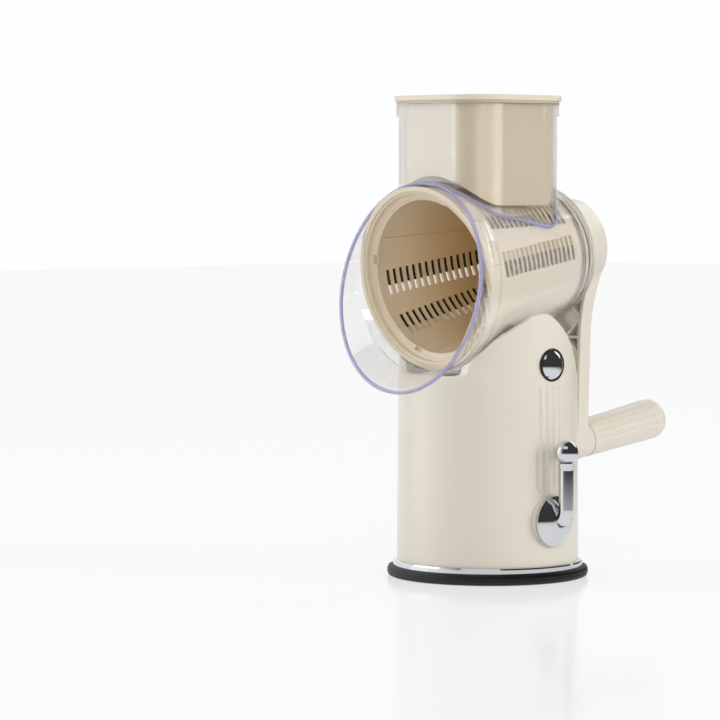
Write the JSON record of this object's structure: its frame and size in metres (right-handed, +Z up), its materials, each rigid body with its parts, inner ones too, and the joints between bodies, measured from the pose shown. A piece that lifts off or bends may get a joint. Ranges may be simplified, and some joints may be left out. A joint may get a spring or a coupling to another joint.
{
  "type": "rotary cabbage shredder",
  "caption": "Hand cranked rotary vegetable shredder: clear barrel and hopper over a cream body on a suction base with a lever, a release button, a slotted conical drum and a pusher.",
  "frame": {"origin": "centre of the suction base's rest face on the table", "axes": "+Z up through the body, -Y to the open front of the drum, +X to the suction lever and the release button, +Y to the crank"},
  "size_m": [0.141, 0.2407, 0.305],
  "materials": {
    "black_rubber": "matte",
    "cream_plastic": "gloss",
    "warm_plastic": "gloss",
    "clear_plastic": "clear gloss",
    "chrome": "polished",
    "dark_plastic": "matte",
    "steel": "brushed",
    "inner_plastic": "matte",
    "bearing_plastic": "satin"
  },
  "bodies": {
    "base": {"suction_pad": "black_rubber", "base_trim_ring": "chrome", "body_shell": "cream_plastic", "base_plate": "inner_plastic", "base_screws": "steel", "shaft_bracket": "inner_plastic", "bracket_screws": "steel", "hub_seat": "dark_plastic", "cradle_deck": "inner_plastic", "deck_screws": "steel", "button_bezel": "dark_plastic", "plunger_guide": "inner_plastic", "button_spring": "steel", "barrel_housing": "clear_plastic", "rear_cover": "cream_plastic", "rear_cover_screws": "steel", "shaft_bush": "bearing_plastic"},
    "lever": {"lever_casting": "chrome", "lever_ball": "chrome", "lever_shaft": "steel", "shaft_clip": "steel"},
    "stem": {"pull_stem": "bearing_plastic"},
    "button": {"release_button": "chrome", "button_plunger": "steel", "latch_plate": "steel"},
    "crank": {"crank_shaft": "steel", "crank_arm": "cream_plastic", "crank_screw": "steel", "crank_cap": "cream_plastic", "grip_pin": "steel"},
    "grip": {"grip_sleeve": "cream_plastic", "grip_cap": "cream_plastic"},
    "drum": {"drum_frame": "warm_plastic", "drive_socket": "bearing_plastic", "blade_panel_a": "warm_plastic", "blade_panel_b": "warm_plastic", "blade_strip_a1": "steel", "blade_strip_a2": "steel", "blade_strip_b1": "steel", "blade_strip_b2": "steel"},
    "pusher": {"pusher_cup": "warm_plastic", "pusher_lid": "warm_plastic"}
  },
  "joints": [
    {"name": "lever_turn", "type": "hinge", "parent": "base", "child": "lever", "pos_m": [0, 0, 0.0385], "axis": [1, 0, 0], "range_deg": [0, 90]},
    {"name": "stem_lift", "type": "slide", "parent": "base", "child": "stem", "axis": [0, 0, 1], "range_m": [0, 0.004], "deforming": ["suction_pad"]},
    {"name": "button_press", "type": "slide", "parent": "base", "child": "button", "axis": [-1, 0, 0], "range_m": [0, 0.0035], "stiffness_N_per_m": 400, "deforming": ["button_spring"]},
    {"name": "crank_turn", "type": "hinge", "parent": "base", "child": "crank", "pos_m": [0, -0.05638, 0.19041], "axis": [0, 0.9885, 0.1511], "continuous": true},
    {"name": "grip_spin", "type": "hinge", "parent": "crank", "child": "grip", "pos_m": [0, 0.13, 0.0892], "axis": [0, 0.9885, 0.1511], "continuous": true},
    {"name": "drum_pull", "type": "slide", "parent": "crank", "child": "drum", "axis": [0, -0.9885, -0.1511], "range_m": [0, 0.115]},
    {"name": "pusher_lift", "type": "slide", "parent": "base", "child": "pusher", "axis": [0, 0, 1], "range_m": [0, 0.1]}
  ],
  "couplings": [
    {"joint": "stem_lift", "follows": "lever_turn", "m_per_rad": 0.002546}
  ]
}
